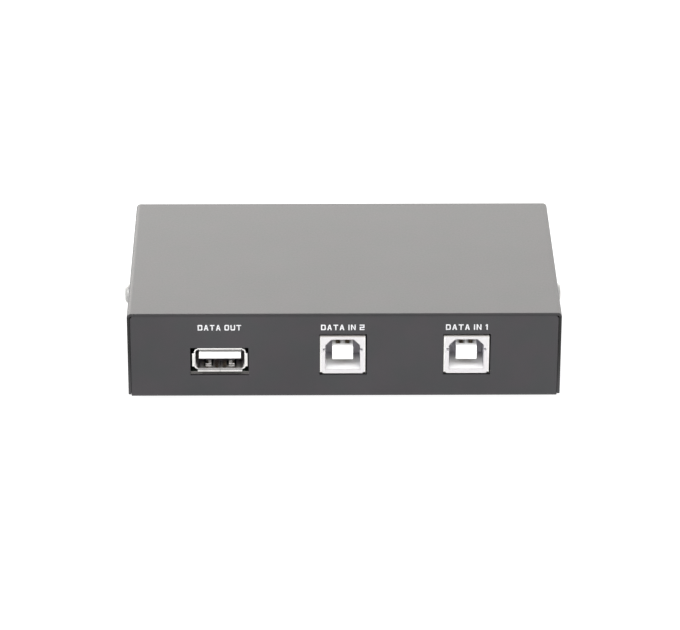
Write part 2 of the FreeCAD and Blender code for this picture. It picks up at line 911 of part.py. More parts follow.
def make_square_socket(name):
    """A host socket: folded shell, white body with a centre tongue, and four contacts."""
    x = socket_x[name]
    half = square_width / 2
    inner = half - shell_thick
    back = socket_front + square_depth
    top = board_top + square_height
    inner_top = top - shell_thick

    skirt = board_top + square_skirt
    shell_box = block(name + "_box", (x - half, x + half), (socket_front, back), (skirt, top))
    hollow = block(
        name + "_hollow",
        (x - inner, x + inner),
        (socket_front - PAST, back - shell_thick),
        (board_top - PAST, inner_top),
    )
    legs = leg_pair(name, x, half, socket_front + square_leg_start, board_top + PAST)
    keep(name + "_shell", fuse(name + "_shell", cut(name + "_wrap", shell_box, hollow), *legs))

    base = board_top + square_base
    moulding = prism(
        name + "_moulding",
        "y",
        bevelled(x, inner, base, inner_top, None, square_bottom_bevel),
        socket_front,
        back - shell_thick,
    )
    rails = []
    for side in (-1, 1):
        rail_x = x + (inner - square_bottom_bevel - rail_width) * side
        rails.append(
            block(
                name + "_rail",
                (rail_x - rail_width / 2, rail_x + rail_width / 2),
                (socket_front + rail_front_setback, back - rail_back_setback),
                (board_top, base + PAST),
            )
        )
    wide = cavity_width / 2
    before = socket_front - PAST
    cavity = square_mouth(name + "_cavity", x, 0, (before, socket_front + cavity_depth))
    mouth = square_mouth(name + "_mouth", x, lead_in, (before, socket_front + lead_in))
    notches = []
    for side in (-1, 1):
        near, far = x + (wide - PAST) * side, x + (wide + notch_width) * side
        across = (near, far) if side > 0 else (far, near)
        centre = square_z + notch_level
        height = (centre - notch_height / 2, centre + notch_height / 2)
        notches.append(block(name + "_notch", across, (before, socket_front + notch_depth), height))
    frame = cut(name + "_frame", fuse(name + "_body", moulding, *rails), cavity, mouth, *notches)

    tongue_half = square_tongue_height / 2
    tongue_z = square_z + square_tongue_lift
    front = socket_front + square_tongue_setback
    tongue_back = socket_front + cavity_depth + PAST
    bevel = square_tongue_bevel
    tongue = prism(
        name + "_tongue",
        "x",
        [
            (front, tongue_z - tongue_half + bevel),
            (front, tongue_z + tongue_half - bevel),
            (front + bevel, tongue_z + tongue_half),
            (tongue_back, tongue_z + tongue_half),
            (tongue_back, tongue_z - tongue_half),
            (front + bevel, tongue_z - tongue_half),
        ],
        x - square_tongue_width / 2,
        x + square_tongue_width / 2,
    )
    slots = []
    contacts = []
    number = 0
    for level in (1, -1):
        for side in (-1, 1):
            number += 1
            centre = x + slot_across * side
            outer = tongue_z + tongue_half * level
            bed = outer - slot_depth * level
            height = (bed, outer + PAST) if level > 0 else (outer - PAST, bed)
            across = (centre - slot_width / 2, centre + slot_width / 2)
            slot_y = (front + slot_setback, socket_front + cavity_depth)
            slots.append(block(name + "_slot", across, slot_y, height))
            contacts.append(
                bent_contact(
                    f"{name}_contact_{number}",
                    centre,
                    front + slot_setback,
                    bed if level > 0 else bed - contact_thick,
                    socket_front + (upper_pin_setback if level > 0 else lower_pin_setback),
                )
            )
    solid = cut(name + "_slotted", fuse(name + "_joined", frame, tongue), *slots)
    keep(name + "_insulator", cut(name + "_insulator", solid, *contacts))


# ---------------------------------------------------------------- switch


def make_switch_body():
    """The fixed part of the latching switch: housing, terminals and the frame over the latch."""
    housing = block(
        "switch_block",
        (-switch_half_width, switch_half_width),
        (switch_back, switch_front),
        (board_top, button_z + switch_roof),
    )
    room = block(
        "switch_room",
        (-slide_room_width, slide_room_width),
        (switch_back + switch_wall, switch_front - switch_wall),
        (button_z - slide_room_height, button_z + slide_room_height),
    )
    stem_y = switch_front - switch_wall - PAST
    stem_bore = rod("stem_bore", "y", 0, stem_y, button_z, stem_hole, switch_wall + 2 * PAST)
    latch_window = block(
        "latch_window",
        (-latch_slot, latch_slot),
        (latch_y - latch_slot_half, latch_y + latch_slot_half),
        (button_z, button_z + switch_roof + PAST),
    )
    pivot_floor = button_z + slide_room_height + latch_seat
    pivot = rod("latch_pivot_bore", "z", 0, pivot_y, pivot_floor, latch_bore, switch_roof)
    rows = []
    for word, side in (("left", -1), ("right", 1)):
        blades = []
        near = slide_room_width * side
        far = near + terminal_thick * side
        across = (near, far) if side > 0 else (far, near)
        for number in range(TERMINALS_PER_SIDE):
            y = switch_front - terminal_first - terminal_pitch * number
            along = (y - contact_width / 2, y + contact_width / 2)
            blades.append(
                block("switch_blade", across, along, (board_top - pin_drop, button_z + terminal_rise))
            )
            board_holes.append(((near + far) / 2, y, pin_hole))
        rows.append(keep(f"switch_terminals_{word}", group(f"switch_terminals_{word}", blades)))
    hollows = (room, stem_bore, latch_window, pivot, *rows)
    keep("switch_housing", cut("switch_housing", housing, *hollows))

    outer = switch_half_width + frame_thick
    frame_back = pivot_y - frame_behind_pivot
    frame_y = (frame_back, frame_back + frame_length)
    plate_z = latch_z + latch_wire + latch_gap
    frame_box = block(
        "frame_box", (-outer, outer), frame_y, (plate_z - frame_drop, plate_z + frame_thick)
    )
    frame_hollow = block(
        "frame_hollow",
        (-switch_half_width, switch_half_width),
        (frame_y[0] - PAST, frame_y[1] + PAST),
        (plate_z - frame_drop - PAST, plate_z),
    )
    keep("switch_frame", cut("switch_frame", frame_box, frame_hollow))


def make_plunger():
    """The sliding part: slide, stem and the heart-shaped track that the latch pin follows."""
    slide = block(
        "plunger_slide",
        (-slide_half_width, slide_half_width),
        (slide_back, slide_front),
        (button_z - slide_half_height, button_z + slide_half_height),
    )
    stem_start = slide_front - PAST
    cap_back = selector_face + button_proud - button_length
    stem_end = cap_back + button_bore_depth + stem_socket
    stem = rod("plunger_stem", "y", 0, stem_start, button_z, stem_radius, stem_end - stem_start)
    track_top = button_z + slide_half_height + PAST
    track_floor = button_z + slide_half_height - track_depth
    track = prism(
        "latch_track",
        "z",
        [
            (-track_start, latch_y - track_start),
            (track_start, latch_y - track_start),
            (track_swing, latch_y + track_widens),
            (track_swing, latch_y + track_end),
            (-track_swing, latch_y + track_end),
            (-track_swing, latch_y + track_widens),
        ],
        track_floor,
        track_top,
    )
    heart = prism(
        "latch_heart",
        "z",
        [
            (0, latch_y + heart_point),
            (heart_half, latch_y + heart_lobe),
            (0, latch_y + heart_notch),
            (-heart_half, latch_y + heart_lobe),
        ],
        track_floor - heart_root,
        button_z + slide_half_height,
    )
    grooved = cut("plunger_grooved", fuse("plunger_blank", slide, stem), track)
    keep("switch_plunger", fuse("switch_plunger", grooved, heart))

    number = 0
    for side in (-1, 1):
        for place_along in (0, 1):
            number += 1
            near = slide_half_width
            y = slide_front - clip_first - clip_pitch * place_along
            half = clip_length / 2
            points = [
                (near * side, y - half),
                (near * side, y + half),
                ((near + contact_thick) * side, y + half),
                ((near + clip_proud) * side, y + half / 3),
                ((near + clip_proud) * side, y - half / 3),
                ((near + contact_thick) * side, y - half),
            ]
            low = button_z - clip_height / 2
            clip = prism(f"clip_{number}", "z", points, low, low + clip_height)
            keep(f"sliding_contact_{number}", clip)


def make_latch_pin():
    """A bent wire: it turns about its rear leg, and its front leg rides in the heart track."""
    arm = rod("latch_arm", "y", 0, pivot_y, latch_z, latch_wire, latch_length)
    tip_floor = button_z + slide_half_height - track_depth + latch_tip_gap
    tip = rod("latch_tip", "z", 0, latch_y, tip_floor, latch_wire, latch_z - tip_floor)
    pivot_floor = button_z + slide_room_height + latch_seat + latch_gap
    leg = rod("latch_leg", "z", 0, pivot_y, pivot_floor, latch_wire, latch_z - pivot_floor)
    knees = []
    for name, y in (("latch_knee_front", latch_y), ("latch_knee_rear", pivot_y)):
        ball = doc.addObject("Part::Sphere", name)
        bind(ball, "Radius", latch_wire)
        knees.append(place(ball, 0, y, latch_z))
    keep("latch_pin", fuse("latch_pin", arm, tip, leg, *knees))


def make_spring():
    """The return spring, coiled round the stem from the housing to the inside of the cap."""
    cap_back = selector_face + button_proud - button_length
    length = cap_back + button_bore_depth - switch_front
    helix = doc.addObject("Part::Helix", "spring_line")
    bind(helix, "Radius", spring_radius)
    bind(helix, "Pitch", spring_pitch)
    bind(helix, "Height", length - 2 * (spring_wire + spring_seat_gap))
    wire = doc.addObject("Part::Circle", "spring_section")
    bind(wire, "Radius", spring_wire)
    place(wire, spring_radius, 0, 0, Rotation(Vector(1, 0, 0), 90))
    coil = doc.addObject("Part::Sweep", "return_spring")
    coil.Sections = [wire]
    coil.Spine = (helix, ["Edge1"])
    coil.Solid = True
    coil.Frenet = True
    start = switch_front + spring_wire + spring_seat_gap
    place(keep("return_spring", coil), 0, start, button_z, TURNS["y"])


def make_button_cap():
    """The round cap, hollow behind, pressed on the end of the stem."""
    socket_end = button_bore_depth + stem_socket
    body = turned(
        "cap_turned",
        [
            (stem_radius, button_bore_depth),
            (button_bore, button_bore_depth),
            (button_bore, 0),
            (button_radius, 0),
            (button_radius, button_length),
            (0, button_length),
            (0, socket_end),
            (stem_radius, socket_end),
        ],
    )
    rounded(body, "cap_round", button_round, lambda edge: lies(edge, z=button_length))
    back = selector_face + button_proud - button_length
    place(keep("button_cap", body), 0, back, button_z, TURNS["y"])


# ---------------------------------------------------------------- lamps and board


def make_lamp(number, x):
    """A round lamp behind the selector panel, with two leads bent down into the board."""
    dome_y = selector_face + lamp_proud - lamp_radius
    barrel_y = dome_y - lamp_barrel
    rim_y = barrel_y - lamp_rim_thick
    name = f"lamp_{number}"
    barrel = rod(name + "_barrel", "y", x, barrel_y, button_z, lamp_radius, lamp_barrel)
    rim = rod(name + "_rim", "y", x, rim_y, button_z, lamp_rim, lamp_rim_thick)
    dome = doc.addObject("Part::Sphere", name + "_dome")
    bind(dome, "Radius", lamp_radius)
    place(dome, x, dome_y, button_z)
    keep(name + "_lens", fuse(name + "_lens", barrel, rim, dome))
    wires = []
    half = lead_side / 2
    for side in (-1, 1):
        wire_x = x + lead_across * side
        points = [
            (rim_y, button_z + half),
            (lead_y - half, button_z + half),
            (lead_y - half, board_top - pin_drop),
            (lead_y + half, board_top - pin_drop),
            (lead_y + half, button_z - half),
            (rim_y, button_z - half),
        ]
        wires.append(prism(name + "_wire", "x", points, wire_x - half, wire_x + half))
        board_holes.append((wire_x, lead_y, lead_hole))
    keep(name + "_leads", group(name + "_leads", wires))


def make_board_parts():
    """Two chip resistors for the lamps and the supply capacitor of the device port."""
    for number, x in ((1, -lamp_across), (2, lamp_across)):
        y = selector_face - resistor_behind_lamp
        keep(
            f"lamp_resistor_{number}",
            block(
                f"lamp_resistor_{number}",
                (x - resistor_length / 2, x + resistor_length / 2),
                (y - resistor_width / 2, y + resistor_width / 2),
                (board_top, board_top + resistor_height),
            ),
        )
    y = port_face + can_behind_port
    can = rod("capacitor_can", "z", can_x, y, board_top, can_radius, can_height)
    leads = []
    for side in (-1, 1):
        lead_x = can_x + lead_across * side
        leads.append(
            rod("capacitor_lead", "z", lead_x, y, board_top - pin_drop, lead_side / 2, pin_drop + PAST)
        )
        board_holes.append((lead_x, y, lead_hole))
    keep("supply_capacitor", fuse("supply_capacitor", can, *leads))


def make_board():
    """The circuit board, with a hole for every pin and screw, on four standoffs."""
    slab = block(
        "board_slab",
        (-board_width / 2, board_width / 2),
        (port_inside + board_gap, selector_inside - board_gap),
        (board_under, board_top),
    )
    tool_z = board_under - PAST
    tool_length = board_thick + 2 * PAST
    tools = []
    for x, y, radius in board_holes:
        tools.append(rod("board_hole", "z", x, y, tool_z, radius, tool_length))
    for across, along in board_slots:
        tools.append(block("board_slot", across, along, (tool_z, board_top + PAST)))
    for x, y in standoff_places:
        tools.append(rod("board_screw_hole", "z", x, y, tool_z, clear_hole, tool_length))
    keep("circuit_board", cut("circuit_board", slab, *tools))
    for number, (x, y) in enumerate(standoff_places, 1):
        tube = turned(
            f"standoff_{number}_tube",
            [
                (screw_hole, floor),
                (standoff_radius, floor),
                (standoff_radius, board_under),
                (screw_hole, board_under),
            ],
        )
        place(keep(f"board_standoff_{number}", tube), x, y, 0)
        pan_screw(f"board_screw_{number}", x, y, board_top, "z")


# ---------------------------------------------------------------- build, check and write

make_cover()
make_chassis()
make_case_screws()
make_feet()
make_flat_socket("device_port")
make_square_socket("host_port_1")
make_square_socket("host_port_2")
make_switch_body()
make_plunger()
make_latch_pin()
make_spring()
make_button_cap()
make_lamp(1, -lamp_across)
make_lamp(2, lamp_across)
make_board_parts()
make_board()
doc.recompute()

for thing in doc.Objects:
    if "Invalid" in thing.State or "Error" in thing.State:
        raise RuntimeError(f"{thing.Label} failed: {thing.State}")
for piece in pieces:
    if piece.Shape.isNull() or not piece.Shape.isValid() or not piece.Shape.Solids:
        raise RuntimeError(f"{piece.Label} has no valid solid")
for piece in pieces:
    piece.Shape.exportStep(f"parts/{piece.Label}.step")
    print(f"{piece.Label}: {len(piece.Shape.Solids)} solid, {piece.Shape.Volume:.2f} mm3")
print(f"{len(pieces)} sub-parts written")
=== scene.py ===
"""The looks of a small data switch in a black powder-coated steel case, in metres, in the CAD frame.

-Y is the port side, +Y the selector side with the button and two lamps, +Z is up.
"""

import json
import math

import bmesh
import bpy
from mathutils import Matrix, Vector


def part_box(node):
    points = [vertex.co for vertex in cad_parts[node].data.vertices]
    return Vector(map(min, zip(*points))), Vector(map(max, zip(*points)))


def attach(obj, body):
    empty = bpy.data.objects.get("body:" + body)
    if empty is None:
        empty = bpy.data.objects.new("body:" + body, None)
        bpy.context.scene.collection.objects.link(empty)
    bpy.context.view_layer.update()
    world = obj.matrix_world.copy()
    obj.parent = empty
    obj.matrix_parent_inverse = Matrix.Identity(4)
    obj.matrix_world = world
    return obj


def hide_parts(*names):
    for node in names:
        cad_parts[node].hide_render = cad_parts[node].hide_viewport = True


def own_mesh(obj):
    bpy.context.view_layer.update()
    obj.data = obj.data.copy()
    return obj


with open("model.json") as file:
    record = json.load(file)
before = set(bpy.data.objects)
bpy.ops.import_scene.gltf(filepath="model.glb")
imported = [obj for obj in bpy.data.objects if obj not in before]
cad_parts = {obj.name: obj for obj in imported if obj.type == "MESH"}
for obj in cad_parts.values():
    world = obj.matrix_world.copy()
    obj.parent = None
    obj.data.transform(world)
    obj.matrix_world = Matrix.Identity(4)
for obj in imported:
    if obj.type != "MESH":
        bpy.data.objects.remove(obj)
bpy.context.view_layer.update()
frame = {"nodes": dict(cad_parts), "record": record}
NODES = frame["nodes"]
MM = 0.001

CASE_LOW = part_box("top_cover")[0]
PANEL_LOW, PANEL_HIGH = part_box("chassis")
SOCKETS = {name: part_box(name + "_shell") for name in ("device_port", "host_port_1", "host_port_2")}


# ---------------------------------------------------------------- camera


def make_camera():
    """The camera stands in front of the port side, a little left of the middle, looking down."""
    stand_off = Vector((-10.1 * MM, -855.9 * MM, 445.3 * MM))
    focal_pixels = 3780.0
    image_width = 680
    yaw, pitch, roll = (math.radians(a) for a in (0.601, 26.242, -0.109))

    ahead = Vector((math.sin(yaw) * math.cos(pitch), math.cos(yaw) * math.cos(pitch), -math.sin(pitch)))
    level = Vector((math.cos(yaw), -math.sin(yaw), 0))
    down = ahead.cross(level)
    right = math.cos(roll) * level + math.sin(roll) * down
    up = math.sin(roll) * level - math.cos(roll) * down

    data = bpy.data.cameras.new("camera")
    data.sensor_width = 36.0
    data.lens = focal_pixels / image_width * data.sensor_width
    data.clip_start = 0.01
    data.clip_end = 50
    camera = bpy.data.objects.new("camera", data)
    axes = Matrix((right, up, -ahead)).transposed()
    centre = Vector((0, CASE_LOW.y, PANEL_LOW.z))
    camera.matrix_world = Matrix.Translation(centre + stand_off) @ axes.to_4x4()
    bpy.context.scene.collection.objects.link(camera)
    bpy.context.scene.camera = camera


make_camera()


# ---------------------------------------------------------------- node graphs


# The sockets of a Mix node go by number, because those for numbers and for colours share their names.
MIX_FACTOR = 0
NUMBER_A, NUMBER_B, NUMBER_RESULT = 2, 3, 0
COLOUR_A, COLOUR_B, COLOUR_RESULT = 6, 7, 2


class Graph:
    """A material's node tree around one Principled shader, in the object's own coordinates."""

    def __init__(self, name):
        self.material = bpy.data.materials.new(name)
        self.material.use_nodes = True
        self.tree = self.material.node_tree
        self.tree.nodes.clear()
        output = self.add("ShaderNodeOutputMaterial")
        self.shader = self.add("ShaderNodeBsdfPrincipled")
        self.join(self.shader.outputs["BSDF"], output.inputs["Surface"])
        self.place = self.add("ShaderNodeTexCoord").outputs["Object"]

    def add(self, kind, **settings):
        node = self.tree.nodes.new(kind)
        for key, value in settings.items():
            setattr(node, key, value)
        return node

    def join(self, source, target):
        self.tree.links.new(source, target)

    def stretched(self, x=1, y=1, z=1):
        """The coordinates scaled on each axis."""
        mapping = self.add("ShaderNodeMapping")
        mapping.inputs["Scale"].default_value = (x, y, z)
        self.join(self.place, mapping.inputs["Vector"])
        return mapping.outputs["Vector"]

    def noise(self, size, detail=3.0, rough=0.5, place=None):
        """Soft random values from 0 to 1, whose features are about so many metres across."""
        node = self.add("ShaderNodeTexNoise")
        node.inputs["Scale"].default_value = 1 / size
        node.inputs["Detail"].default_value = detail
        node.inputs["Roughness"].default_value = rough
        self.join(place or self.place, node.inputs["Vector"])
        return node.outputs["Fac"]

    def cells(self, size, place=None):
        node = self.add("ShaderNodeTexVoronoi")
        node.inputs["Scale"].default_value = 1 / size
        self.join(place or self.place, node.inputs["Vector"])
        return node.outputs["Distance"]

    def part_of(self, vector, axis):
        """One component of a vector: X, Y or Z."""
        node = self.add("ShaderNodeSeparateXYZ")
        self.join(vector, node.inputs["Vector"])
        return node.outputs[axis]

    def math(self, operation, *sources):
        node = self.add("ShaderNodeMath", operation=operation)
        for index, source in enumerate(sources):
            if isinstance(source, (int, float)):
                node.inputs[index].default_value = source
            else:
                self.join(source, node.inputs[index])
        return node.outputs["Value"]

    def ramp(self, value, *stops):
        """Colours (or greys) between stops of (position, colour)."""
        node = self.add("ShaderNodeValToRGB")
        elements = node.color_ramp.elements
        while len(elements) < len(stops):
            elements.new(0.5)
        for element, (position, colour) in zip(elements, stops):
            element.position = position
            element.color = (*colour, 1)
        self.join(value, node.inputs["Fac"])
        return node.outputs["Color"]

    def spread(self, value, low, high, start=0.3, end=0.7):
        """The value from start to end becomes low to high."""
        node = self.add("ShaderNodeMapRange")
        for key, number in (("From Min", start), ("From Max", end), ("To Min", low), ("To Max", high)):
            node.inputs[key].default_value = number
        self.join(value, node.inputs["Value"])
        return node.outputs["Result"]

    def mixed(self, factor, first, second, blend="MIX"):
        node = self.add("ShaderNodeMix", data_type="RGBA", blend_type=blend)
        for key, source in ((MIX_FACTOR, factor), (COLOUR_A, first), (COLOUR_B, second)):
            if isinstance(source, (int, float)):
                node.inputs[key].default_value = source
            elif isinstance(source, tuple):
                node.inputs[key].default_value = (*source, 1)
            else:
                self.join(source, node.inputs[key])
        return node.outputs[COLOUR_RESULT]

    def sum(self, first, second, weight):
        """first plus weight times second."""
        return self.math("MULTIPLY_ADD", second, weight, first)

    def bump(self, height, depth, strength=1.0):
        node = self.add("ShaderNodeBump")
        node.inputs["Strength"].default_value = strength
        node.inputs["Distance"].default_value = depth
        self.join(height, node.inputs["Height"])
        self.join(node.outputs["Normal"], self.shader.inputs["Normal"])

    def set(self, **values):
        """Sets sockets of the shader to numbers, colours or other sockets; _ stands for a space."""
        for key, value in values.items():
            socket = self.shader.inputs[key.replace("_", " ")]
            if isinstance(value, tuple):
                socket.default_value = (*value, 1)
            elif isinstance(value, (int, float)):
                socket.default_value = value
            else:
                self.join(value, socket)


# ---------------------------------------------------------------- materials


def enamel():
    """Black powder coat: a fine orange-peel skin with a faint mottle in its colour and sheen.

    It is dull on the cut edge of the cover, which stands just proud of the port panel, and painted near
    black there as shade, fading out along the top and towards the bottom of that edge.
    """
    g = Graph("case_enamel")
    mottle = g.noise(0.02, detail=2)
    grain = g.noise(0.00045, detail=3)
    tint = g.noise(0.006, detail=2, rough=0.4)
    darker, lighter = (0.0212, 0.0201, 0.0222), (0.0278, 0.0265, 0.0288)
    tone = g.ramp(g.sum(mottle, grain, 0.35), (0.35, darker), (0.95, lighter))
    warm = g.ramp(tint, (0.38, (0.93, 1.0, 0.99)), (0.62, (1.06, 0.98, 1.03)))
    coat = g.mixed(1.0, tone, warm, "MULTIPLY")
    # Painted shade on the cover's cut edge: near black in front of the panel face, fading out towards the
    # bottom and along the top.
    behind_edge = g.part_of(g.place, "Y")
    panel_face = g.spread(behind_edge, 0, 1, PANEL_LOW.y - 0.10 * MM, PANEL_LOW.y - 0.04 * MM)
    level = g.part_of(g.place, "Z")
    bottom = g.spread(level, 1, 0, PANEL_LOW.z + 1 * MM, PANEL_LOW.z + 13 * MM)
    top = g.spread(level, 0, 0.6, PANEL_HIGH.z - 0.3 * MM, PANEL_HIGH.z)
    clear_of_rim_shade = g.math("MAXIMUM", panel_face, g.math("MAXIMUM", bottom, top))
    sheen = g.mixed(clear_of_rim_shade, (0.85, 0.85, 0.85), g.spread(grain, 0.36, 0.44))
    g.set(Base_Color=g.mixed(clear_of_rim_shade, (0.006, 0.006, 0.006), coat), Roughness=sheen, IOR=1.5)
    peel = g.noise(0.0009, detail=2)
    g.bump(g.sum(peel, grain, 0.35), 0.000018, 0.6)
    return g.material


def worn(g, colour, depth_shade):
    """The colour of a socket's shell and how much of it is bare metal.

    Its last argument gives where, behind the port panel, a painted shade starts and is full, and its tone.
    The metal is scuffed white where plugs rub on the two sides of the mouth, and dull on top of the
    square sockets.
    """
    start, end, dull = depth_shade
    along = g.part_of(g.place, "Y")
    # Painted shade: the shell darkens towards the shade tone from start to end behind the port panel.
    behind = g.spread(along, 0, 1, PANEL_LOW.y + start, PANEL_LOW.y + end)
    colour = g.mixed(behind, colour, dull)
    facing = g.add("ShaderNodeNewGeometry").outputs["Normal"]
    sideways = g.spread(g.math("ABSOLUTE", g.part_of(facing, "X")), 0, 1, 0.35, 0.6)
    mouth = g.spread(along, 1, 0, PANEL_LOW.y + 0.5 * MM, PANEL_LOW.y + 3.5 * MM)
    rubbed = g.math("MULTIPLY", sideways, mouth)
    crown = SOCKETS["host_port_1"][1].z
    on_top = g.spread(g.part_of(g.place, "Z"), 0, 1, crown - 0.4 * MM, crown - 0.1 * MM)
    near_panel = g.spread(along, 1, 0, PANEL_LOW.y + 3 * MM, PANEL_LOW.y + 6 * MM)
    dull_top = g.math("MULTIPLY", on_top, near_panel)
    colour = g.mixed(dull_top, colour, (0.44, 0.42, 0.40))
    bare = g.spread(g.math("MAXIMUM", rubbed, dull_top), 1.0, 0.15, 0, 1)
    return colour, bare


def metal(name, tone, roughness, streaks=(1, 1, 1), depth=0.000004, depth_shade=None):
    """A plated or bright metal with rolling or drawing marks along the axis with the smallest factor.

    On a socket's shell the last argument gives the shade painted inside it, darker with depth.
    """
    g = Graph(name)
    lines = g.noise(0.0007, detail=4, place=g.stretched(*streaks))
    cloud = g.noise(0.004, detail=2)
    dark = tuple(c * 0.82 for c in tone)
    colour = g.ramp(cloud, (0.3, dark), (0.7, tone))
    bare = 1.0
    if depth_shade:
        colour, bare = worn(g, colour, depth_shade)
    g.set(Base_Color=colour, Metallic=bare)
    g.set(Roughness=g.spread(lines, roughness * 0.8, roughness * 1.25))
    g.bump(lines, depth, 0.5)
    return g.material


def plastic(name, dark, light, roughness, grain=0.0004, depth=0.00001):
    """A moulded plastic: a slight cloud in its colour and a fine moulded grain."""
    g = Graph(name)
    cloud = g.noise(0.003, detail=3)
    fine = g.noise(grain, detail=2)
    g.set(Base_Color=g.ramp(cloud, (0.3, dark), (0.7, light)))
    g.set(Roughness=g.spread(fine, roughness * 0.88, roughness * 1.12))
    g.bump(fine, depth, 0.4)
    return g.material


def socket_plastic(name, notches=None):
    """White moulded body of a socket: grey on its outer face, deep inside, and on walls that face -X.

    The greys are painted shade. notches gives the middle of a square socket and the half width of its
    mouth: past that, in the keying notches at the two sides, the plastic is painted grey as shade too.
    """
    g = Graph(name)
    cloud = g.noise(0.003, detail=3)
    fine = g.noise(0.0004, detail=2)
    plastic_tone = g.ramp(cloud, (0.3, (0.89, 0.89, 0.885)), (0.7, (0.93, 0.93, 0.925)))
    depth = g.part_of(g.place, "Y")
    # Painted shade: the outer face is grey and the inside white, though both are one plastic.
    inside = g.spread(depth, 0, 1, PANEL_LOW.y + 0.2 * MM, PANEL_LOW.y + 0.5 * MM)
    plastic_tone = g.mixed(inside, (0.54, 0.53, 0.535), plastic_tone)
    facing = g.add("ShaderNodeNewGeometry").outputs["Normal"]
    sideways = g.part_of(facing, "X")
    # Painted shade on the side walls inside the mouth: full on walls that face -X, faint on those that face
    # +X.
    walls = g.math("MAXIMUM", g.spread(sideways, 1, 0, -0.75, -0.5), g.spread(sideways, 0, 0.05, 0.5, 0.75))
    on_walls = g.spread(depth, 0, 1, PANEL_LOW.y + 0.1 * MM, PANEL_LOW.y + 1.6 * MM)
    # Painted shade deep inside the socket, from 6 mm to 10 mm behind the port panel.
    deep = g.spread(depth, 0, 1, PANEL_LOW.y + 6.0 * MM, PANEL_LOW.y + 10.0 * MM)
    shade = g.math("MAXIMUM", g.math("MULTIPLY", walls, on_walls), deep)
    if notches:
        centre, half_width = notches
        # Painted shade in the keying notches at the two sides of the mouth.
        off_centre = g.math("ABSOLUTE", g.math("SUBTRACT", g.part_of(g.place, "X"), centre))
        in_notch = g.math("MULTIPLY", g.math("GREATER_THAN", off_centre, half_width), on_walls)
        plastic_tone = g.mixed(in_notch, plastic_tone, (0.30, 0.29, 0.33))
    g.set(Base_Color=g.mixed(shade, plastic_tone, (0.44, 0.43, 0.48)))
    g.set(Roughness=g.spread(fine, 0.37, 0.47))
    g.bump(fine, 0.000006, 0.4)
    return g.material


def solder_mask():
    """Black-green mask over copper, lighter over the tracks, and the pale cut edge of the laminate."""
    g = Graph("board_laminate")
    across, along = 700, 90
    tracks = [g.cells(1.0, g.stretched(x, y, 0)) for x, y in ((across, along), (along, across))]
    nearest = g.math("MINIMUM", *tracks)
    track = g.ramp(nearest, (0.10, (1, 1, 1)), (0.14, (0, 0, 0)))
    mask = g.mixed(track, (0.022, 0.034, 0.026), (0.035, 0.060, 0.044))
    facing = g.add("ShaderNodeNewGeometry").outputs["Normal"]
    cut_edge = g.spread(g.math("ABSOLUTE", g.part_of(facing, "Z")), 1, 0, 0.3, 0.6)
    g.set(Base_Color=g.mixed(cut_edge, mask, (0.32, 0.31, 0.295)), Roughness=0.35)
    g.set(Coat_Weight=0.3, Coat_Roughness=0.12)
    g.bump(nearest, 0.00002, 0.25)
    return g.material


def lamp_resin():
    """Tinted, slightly cloudy resin under a smooth skin."""
    g = Graph("lamp_lens")
    cloud = g.noise(0.0012, detail=3)
    g.set(Base_Color=g.ramp(cloud, (0.3, (0.06, 0.40, 0.10)), (0.7, (0.11, 0.55, 0.16))))
    g.set(Roughness=g.spread(cloud, 0.16, 0.24), Transmission_Weight=0.35, IOR=1.52)
    g.set(Coat_Weight=0.5, Coat_Roughness=0.05)
    g.bump(cloud, 0.00001, 0.2)
    return g.material


def chip_glaze():
    """The black glaze of a chip resistor."""
    g = Graph("resistor_body")
    fine = g.noise(0.0003, detail=2)
    g.set(Base_Color=g.ramp(fine, (0.3, (0.02, 0.02, 0.022)), (0.7, (0.035, 0.035, 0.038))))
    g.set(Roughness=g.spread(fine, 0.3, 0.42))
    g.bump(fine, 0.000008, 0.3)
    return g.material


def ink():
    """White screen-print ink: slightly uneven where it lies thin."""
    g = Graph("print_ink")
    thin = g.noise(0.0006, detail=4)
    g.set(Base_Color=g.ramp(thin, (0.3, (0.50, 0.51, 0.53)), (0.6, (0.66, 0.66, 0.67))))
    g.set(Roughness=g.spread(thin, 0.45, 0.6))
    g.bump(thin, 0.00001, 0.3)
    return g.material


FINISHES = {
    "case_enamel": enamel(),
    "screw_steel": metal("screw_steel", (0.50, 0.50, 0.49), 0.55),
    "foot_rubber": plastic("foot_rubber", (0.018, 0.018, 0.018), (0.03, 0.03, 0.03), 0.75, 0.0003, 0.00003),
    "standoff_steel": metal("standoff_steel", (0.66, 0.66, 0.64), 0.32, (1, 1, 12)),
    "board_laminate": solder_mask(),
    "socket_shell": metal(
        "socket_shell",
        (0.86, 0.85, 0.83),
        0.17,
        (6, 1, 6),
        depth=0.000001,
        # Painted shade inside the shell, from 2 mm and full at 5 mm behind the port panel.
        depth_shade=(2.0 * MM, 5.0 * MM, (0.26, 0.24, 0.22)),
    ),
    "socket_body": socket_plastic("socket_body"),
    "contact_gilt": metal("contact_gilt", (0.50, 0.42, 0.28), 0.25, (8, 1, 8)),
    "switch_body": plastic("switch_body", (0.022, 0.023, 0.026), (0.035, 0.036, 0.04), 0.5),
    "plunger_nylon": plastic("plunger_nylon", (0.72, 0.71, 0.66), (0.80, 0.79, 0.74), 0.35),
    "spring_steel": metal("spring_steel", (0.60, 0.60, 0.61), 0.22, (1, 8, 1)),
    "lead_tin": metal("lead_tin", (0.80, 0.80, 0.79), 0.3, (6, 6, 1)),
    "button_plastic": plastic(
        "button_plastic", (0.026, 0.026, 0.027), (0.036, 0.036, 0.037), 0.36, 0.0005, 0.000012
    ),
    "lamp_lens": lamp_resin(),
    "resistor_body": chip_glaze(),
    "capacitor_sleeve": plastic("capacitor_sleeve", (0.012, 0.02, 0.07), (0.02, 0.03, 0.10), 0.25),
}
INK = ink()


